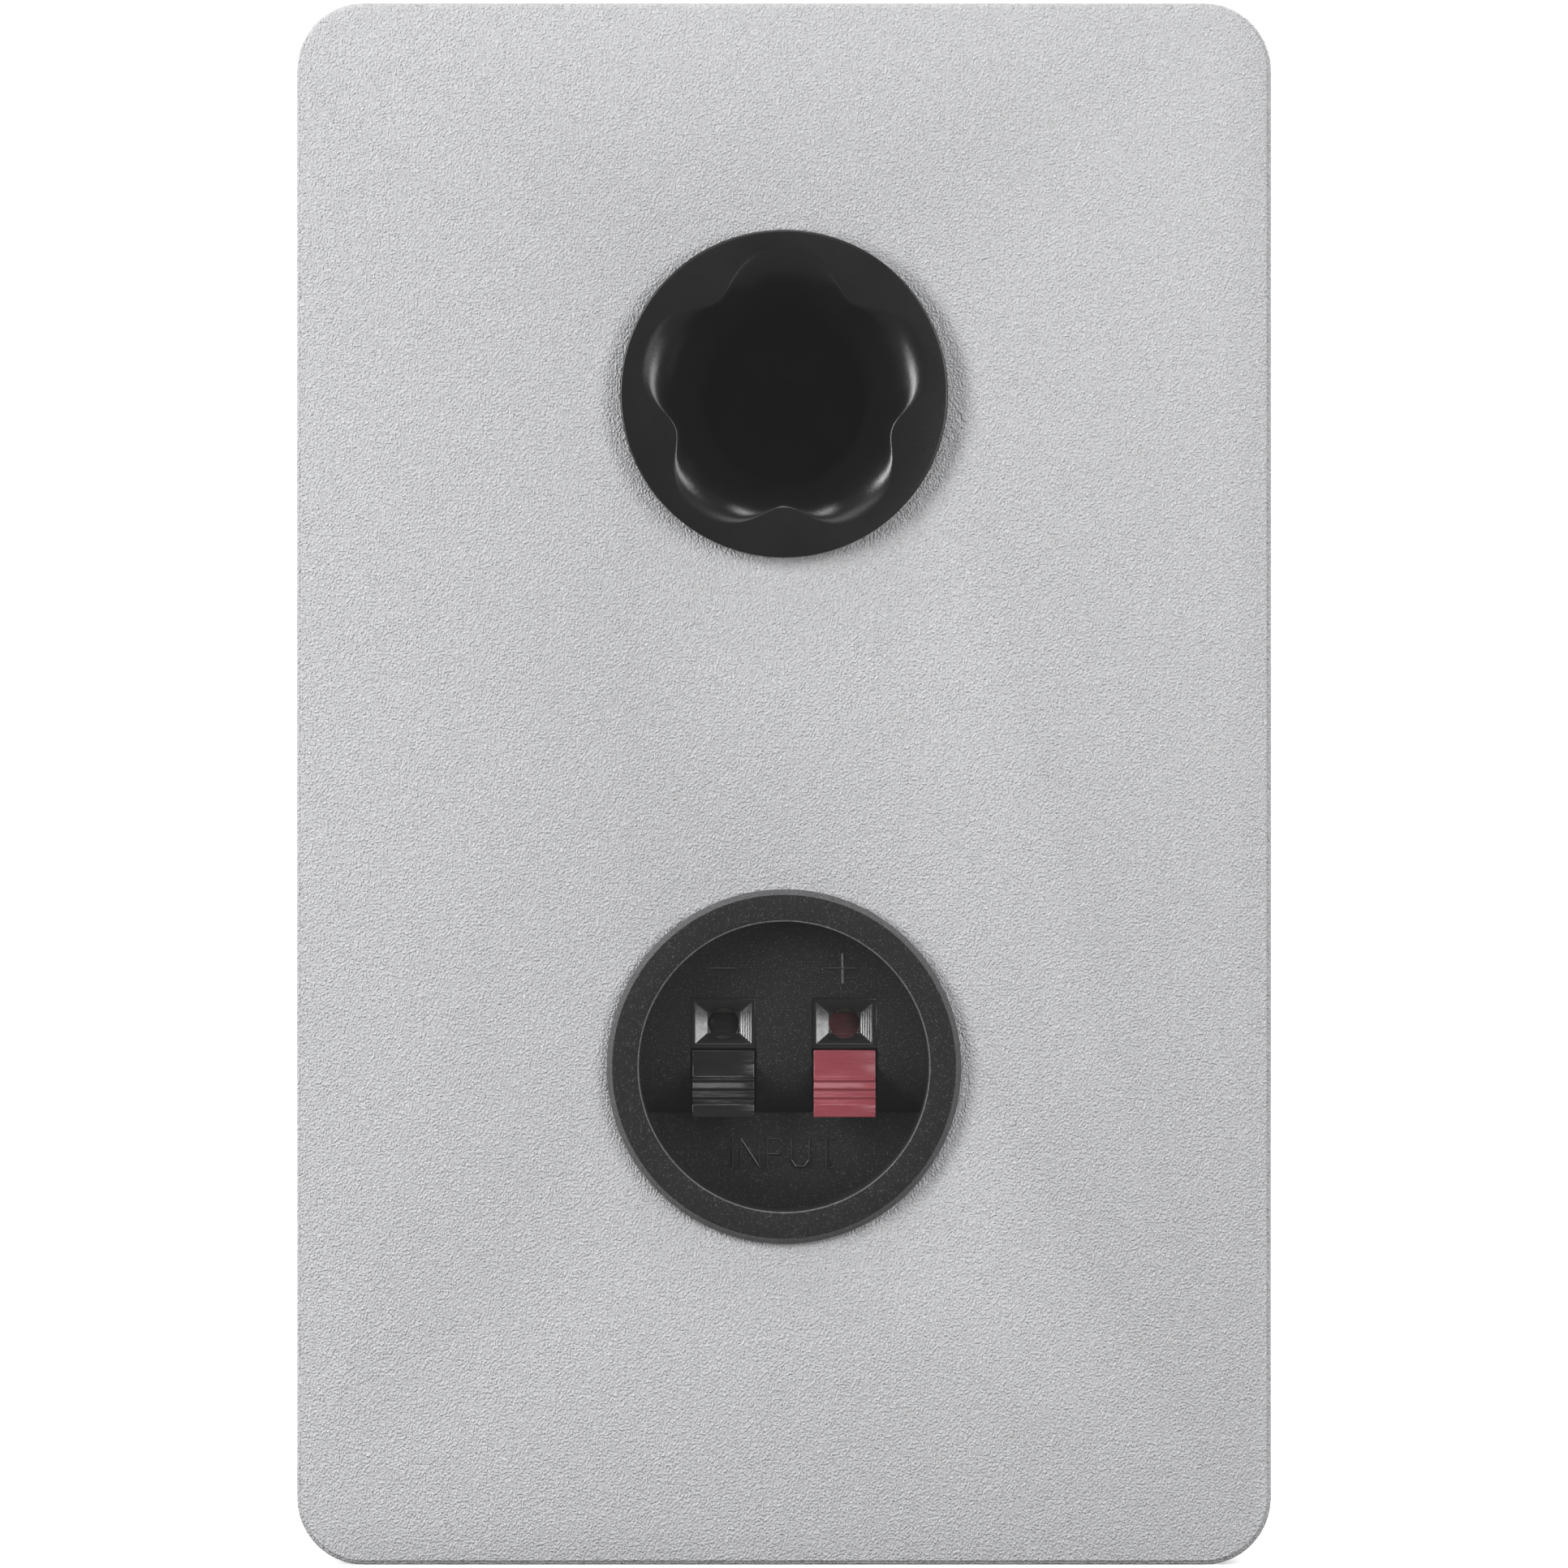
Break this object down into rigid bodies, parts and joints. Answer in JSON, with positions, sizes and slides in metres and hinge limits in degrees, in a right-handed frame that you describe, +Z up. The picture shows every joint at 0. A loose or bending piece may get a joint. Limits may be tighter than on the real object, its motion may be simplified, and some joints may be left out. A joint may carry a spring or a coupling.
{
  "type": "bookshelf speaker",
  "caption": "Compact two-way bookshelf loudspeaker with a rounded grey cabinet, a lobed rear port and a round cup with sprung wire clips.",
  "frame": {"origin": "on the floor under the middle of the overall box", "axes": "+Z up, the drivers face -Y, the port and terminals face +Y, +X is to the right for a listener who faces the drivers"},
  "size_m": [0.146, 0.176, 0.234],
  "materials": {
    "mdf": "raw medium-density fibreboard",
    "cabinet_vinyl": "light grey vinyl with a fine pebble grain",
    "baffle_paint": "board painted satin charcoal",
    "rear_board": "board with a grey sealed edge",
    "port_plastic": "satin moulded black plastic",
    "cup_plastic": "sand-textured black plastic",
    "funnel_plastic": "gloss black insert with fine machining lines",
    "lever_black": "semi-gloss black plastic",
    "lever_red": "semi-gloss dusty red plastic",
    "tinned_brass": "tinned brass strip",
    "spring_steel": "plain spring steel",
    "frame_steel": "black painted pressed steel",
    "zinc_steel": "zinc plated steel",
    "ferrite": "sintered ferrite",
    "cone_paper": "coated black cone paper",
    "cap_paper": "coated black dust cap",
    "surround_rubber": "butyl rubber",
    "spider_cloth": "resin-dipped cotton",
    "coil_copper": "lacquered copper wire",
    "coil_former": "polyimide film",
    "dome_silk": "coated silk",
    "plate_plastic": "fine-grained black plastic",
    "gasket_foam": "closed-cell foam",
    "screw_black": "black oxide steel",
    "circuit_board": "green resist on glass-epoxy",
    "strip_board": "brown paper-phenolic board",
    "capacitor_sleeve": "shrink sleeve",
    "cement": "white cement body",
    "wire_red": "red PVC insulation",
    "wire_black": "black PVC insulation",
    "tinsel": "braided tinsel lead",
    "wadding": "white polyester wadding"
  },
  "bodies": {
    "root": {"top_panel": "mdf", "bottom_panel": "mdf", "left_side_panel": "mdf", "right_side_panel": "mdf", "front_baffle": "baffle_paint", "back_panel": "rear_board", "carcass_vinyl_wrap": "cabinet_vinyl", "back_vinyl_skin": "cabinet_vinyl", "damping_pads": "wadding", "woofer_basket": "frame_steel", "woofer_gasket": "gasket_foam", "woofer_surround": "surround_rubber", "woofer_spider": "spider_cloth", "woofer_top_plate": "zinc_steel", "woofer_magnet": "ferrite", "woofer_yoke": "zinc_steel", "woofer_terminal_strip": "strip_board", "woofer_tinsel_leads": "tinsel", "woofer_screws": "screw_black", "tweeter_faceplate": "plate_plastic", "tweeter_gasket": "gasket_foam", "tweeter_surround": "dome_silk", "tweeter_top_plate": "zinc_steel", "tweeter_magnet": "ferrite", "tweeter_yoke": "frame_steel", "tweeter_terminal_tags": "tinned_brass", "tweeter_screws": "screw_black", "port_flare": "port_plastic", "port_tube": "port_plastic", "terminal_cup": "cup_plastic", "terminal_rear_cover": "cup_plastic", "lever_pivot_pin": "spring_steel", "wire_funnel_negative": "funnel_plastic", "wire_funnel_positive": "funnel_plastic", "contact_plate_negative": "tinned_brass", "contact_plate_positive": "tinned_brass", "clip_spring_negative": "spring_steel", "clip_spring_positive": "spring_steel", "crossover_board": "circuit_board", "board_standoffs": "lever_black", "board_screws": "spring_steel", "crossover_capacitor": "capacitor_sleeve", "crossover_inductor": "coil_copper", "crossover_resistor": "cement", "spade_connectors": "tinned_brass", "input_wire_red": "wire_red", "woofer_wire_red": "wire_red", "tweeter_wire_red": "wire_red", "input_wire_black": "wire_black", "woofer_wire_black": "wire_black", "tweeter_wire_black": "wire_black"},
    "woofer_diaphragm": {"woofer_cone": "cone_paper", "woofer_dust_cap": "cap_paper", "woofer_coil_former": "coil_former", "woofer_voice_coil": "coil_copper"},
    "tweeter_diaphragm": {"tweeter_dome": "dome_silk", "tweeter_voice_coil": "coil_copper"},
    "negative_lever": {"clip_lever_negative": "lever_black"},
    "positive_lever": {"clip_lever_positive": "lever_red"}
  },
  "joints": [
    {"name": "woofer_cone_travel", "type": "slide", "parent": "root", "child": "woofer_diaphragm", "axis": [0, -1, 0], "range_m": [-0.003, 0.003], "stiffness_N_per_m": 1200, "deforming": ["woofer_surround", "woofer_spider", "woofer_tinsel_leads"]},
    {"name": "tweeter_dome_travel", "type": "slide", "parent": "root", "child": "tweeter_diaphragm", "axis": [0, -1, 0], "range_m": [-0.0003, 0.0003], "stiffness_N_per_m": 2000, "deforming": ["tweeter_surround"]},
    {"name": "negative_lever_press", "type": "hinge", "parent": "root", "child": "negative_lever", "pos_m": [0.0091, 0.0636, 0.0747], "axis": [1, 0, 0], "range_deg": [-12, 0], "stiffness_Nm_per_rad": 0.12, "springref_deg": 20.05, "deforming": ["clip_spring_negative"]},
    {"name": "positive_lever_press", "type": "hinge", "parent": "root", "child": "positive_lever", "pos_m": [-0.0091, 0.0636, 0.0747], "axis": [1, 0, 0], "range_deg": [-12, 0], "stiffness_Nm_per_rad": 0.12, "springref_deg": 20.05, "deforming": ["clip_spring_positive"]}
  ]
}
